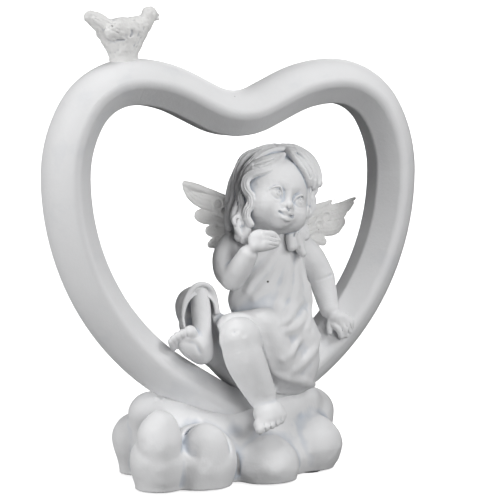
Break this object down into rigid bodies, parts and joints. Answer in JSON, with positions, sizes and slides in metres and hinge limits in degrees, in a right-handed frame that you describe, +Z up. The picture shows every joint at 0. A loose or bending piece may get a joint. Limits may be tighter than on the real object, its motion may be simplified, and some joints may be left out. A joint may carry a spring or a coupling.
{
  "type": "angel figurine",
  "caption": "Cast resin figurine of a small winged girl seated in an upright heart-shaped ring on a cloud base, with a bird on top.",
  "frame": {"origin": "centre of the footprint, on the surface it stands on", "axes": "+Z up to the bird, +X to the viewer's right across the heart, -Y towards the viewer in front of the figure"},
  "size_m": [0.188, 0.081, 0.219],
  "materials": {
    "resin": "matte painted casting with a bluish-grey wash in the recesses",
    "wing_resin": "rough matte casting, slightly warmer white",
    "steel": "plain drawn rod",
    "felt": "short felt"
  },
  "bodies": {
    "root": {"cloud_base": "resin", "heart_ring": "resin", "angel_body": "resin", "angel_head": "resin", "right_arm": "resin", "left_arm": "resin", "right_leg": "resin", "left_leg": "resin", "right_wing": "wing_resin", "left_wing": "wing_resin", "bird": "wing_resin", "heart_dowels": "steel", "neck_dowel": "steel", "wing_dowels": "steel", "bird_dowel": "steel", "seat_dowel": "steel", "felt_pads": "felt"}
  },
  "joints": []
}
